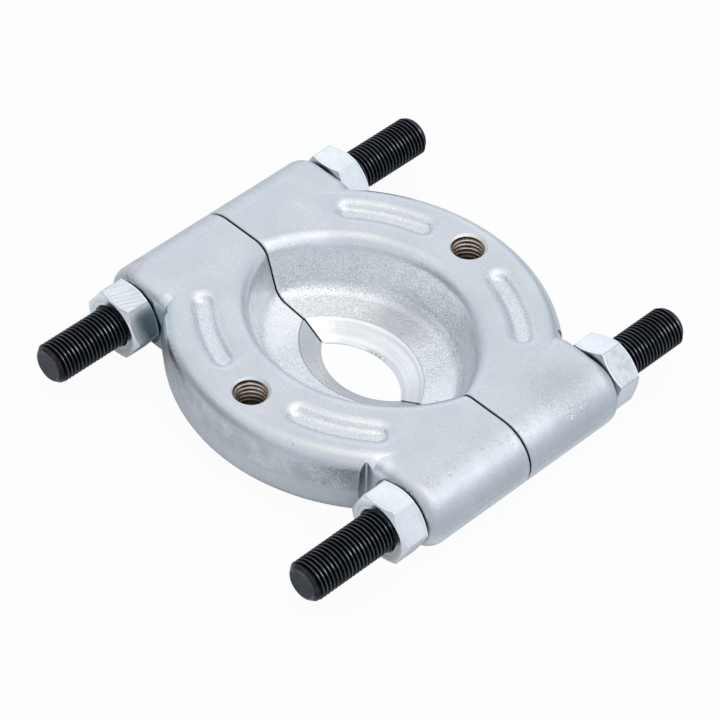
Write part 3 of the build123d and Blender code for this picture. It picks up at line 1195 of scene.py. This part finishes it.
# Broad soft changes to it: azimuth from +Y towards +X, elevation, inner and outer angle, factor
PANELS = (
    (82.0, 60.0, 10.0, 42.0, 1.30),
    (96.0, 26.0, 6.0, 30.0, 0.84),
    (-140.0, 8.0, 5.0, 40.0, 0.50),
    (165.0, 2.0, 5.0, 42.0, 0.80),
    (-48.0, 12.0, 5.0, 36.0, 1.25),
    (-5.0, 2.0, 5.0, 30.0, 0.72),
    (54.0, 30.0, 4.0, 24.0, 1.24),
    (125.0, 66.0, 8.0, 34.0, 0.82),
)
# Large soft box, high on the camera's right
KEY_AZIMUTH = 80.0
KEY_ELEVATION = 56.0
KEY_DISTANCE = 1.3
KEY_WIDTH = 1.35
KEY_POWER = 1.10


def make_floor():
    """A plain pale floor, near white to the camera, with a faint shadow, and darker in the metal."""
    shape = bmesh.new()
    corners = ((-1, -1), (1, -1), (1, 1), (-1, 1))
    shape.faces.new([shape.verts.new((x * FLOOR_HALF, y * FLOOR_HALF, 0.0)) for x, y in corners])
    mesh = bpy.data.meshes.new("floor")
    shape.to_mesh(mesh)
    shape.free()
    floor = bpy.data.objects.new("floor", mesh)
    bpy.context.scene.collection.objects.link(floor)
    material = bpy.data.materials.new("pale_floor")
    material.use_nodes = True
    tree = material.node_tree
    tree.nodes.clear()
    paper = place(tree, "ShaderNodeBsdfDiffuse", {"Color": FLOOR_COLOUR})
    white = place(tree, "ShaderNodeEmission", {"Color": (1.0, 1.0, 1.0, 1.0), "Strength": 1.0})
    light = tree.nodes.new("ShaderNodeLightPath").outputs
    seen = product(tree, light["Is Camera Ray"], FLOOR_WHITE_TO_CAMERA)
    mirrored = largest(tree, light["Is Glossy Ray"], light["Is Transmission Ray"])
    share = largest(tree, seen, product(tree, mirrored, FLOOR_WHITE_TO_METAL))
    mixed = place(tree, "ShaderNodeMixShader", {0: share, 1: paper.outputs[0], 2: white.outputs[0]})
    place(tree, "ShaderNodeOutputMaterial", {"Surface": mixed.outputs[0]})
    mesh.materials.append(material)


def direction(azimuth, elevation):
    """A unit vector towards that azimuth, from +Y towards +X, and elevation, both in degrees."""
    a, e = math.radians(azimuth), math.radians(elevation)
    return Vector((math.sin(a) * math.cos(e), math.cos(a) * math.cos(e), math.sin(e)))


def light_the_room():
    """A pale studio, lighter overhead and on the right, with a large soft box."""
    world = bpy.data.worlds.new("studio")
    bpy.context.scene.world = world
    world.use_nodes = True
    tree = world.node_tree
    tree.nodes.clear()
    way = tree.nodes.new("ShaderNodeTexCoord").outputs["Generated"]
    up = place(tree, "ShaderNodeSeparateXYZ", {"Vector": way}).outputs["Z"]
    ramp = place(tree, "ShaderNodeValToRGB", {"Fac": up})
    while len(ramp.color_ramp.elements) < len(SKY):
        ramp.color_ramp.elements.new(0.5)
    for element, (position, colour) in zip(ramp.color_ramp.elements, SKY):
        element.position = position
        element.color = (*colour, 1.0)
    strength = 1.0
    for azimuth, elevation, inner, outer, factor in PANELS:
        towards = tuple(direction(azimuth, elevation))
        angle = place(tree, "ShaderNodeVectorMath", {0: way, 1: towards}, operation="DOT_PRODUCT")
        low, high = math.cos(math.radians(outer)), math.cos(math.radians(inner))
        strength = product(tree, strength, step(tree, angle.outputs["Value"], low, high, 1.0, factor))
    room = place(tree, "ShaderNodeBackground", {"Color": ramp.outputs["Color"], "Strength": strength})
    place(tree, "ShaderNodeOutputWorld", {"Surface": room.outputs[0]})

    light = bpy.data.lights.new("key_box", "AREA")
    light.shape = "DISK"
    light.size = KEY_WIDTH
    light.energy = KEY_POWER
    lamp = bpy.data.objects.new("key_box", light)
    away = direction(KEY_AZIMUTH, KEY_ELEVATION)
    lamp.location = away * KEY_DISTANCE
    lamp.rotation_mode = "QUATERNION"
    lamp.rotation_quaternion = away.to_track_quat("Z", "Y")
    bpy.context.scene.collection.objects.link(lamp)


# Camera of the photograph: width of the picture in pixels, direction, roll, distance in metres from
# the stud's height over the origin, focal length in pixels, and the pixel that shows that point
IMAGE_SIZE = 720.0
CAMERA_AZIMUTH = math.radians(44.849)
CAMERA_ELEVATION = math.radians(44.774)
CAMERA_ROLL = math.radians(1.428)
CAMERA_DISTANCE = 1.1563
CAMERA_FOCAL = 3622.92
CENTRE_PIXEL = (361.583, 345.044)
SENSOR_WIDTH = 36.0
CAMERA_CLIP = (0.05, 30.0)


def set_camera():
    """The photograph's view, from its measured direction, distance and focal length in pixels."""
    a, e, r = CAMERA_AZIMUTH, CAMERA_ELEVATION, CAMERA_ROLL
    level = Vector((math.cos(a), math.sin(a), 0.0))
    back = Vector((math.sin(a) * math.cos(e), -math.cos(a) * math.cos(e), math.sin(e)))
    upright = back.cross(level)
    across = level * math.cos(r) + upright * math.sin(r)
    up = upright * math.cos(r) - level * math.sin(r)
    shift_x = (CENTRE_PIXEL[0] - IMAGE_SIZE / 2) / CAMERA_FOCAL * CAMERA_DISTANCE
    shift_y = (CENTRE_PIXEL[1] - IMAGE_SIZE / 2) / CAMERA_FOCAL * CAMERA_DISTANCE
    centre = Vector((0.0, 0.0, STUD_Z))
    data = bpy.data.cameras.new("camera")
    data.sensor_width = SENSOR_WIDTH
    data.lens = CAMERA_FOCAL / IMAGE_SIZE * SENSOR_WIDTH
    data.clip_start, data.clip_end = CAMERA_CLIP
    camera = bpy.data.objects.new("camera", data)
    place_of = centre - across * shift_x + up * shift_y + back * CAMERA_DISTANCE
    turned = Matrix((across, up, back)).transposed().to_4x4()
    camera.matrix_world = Matrix.Translation(place_of) @ turned
    bpy.context.scene.collection.objects.link(camera)
    bpy.context.scene.camera = camera


make_floor()
light_the_room()
set_camera()
bpy.context.scene.view_settings.view_transform = "Standard"
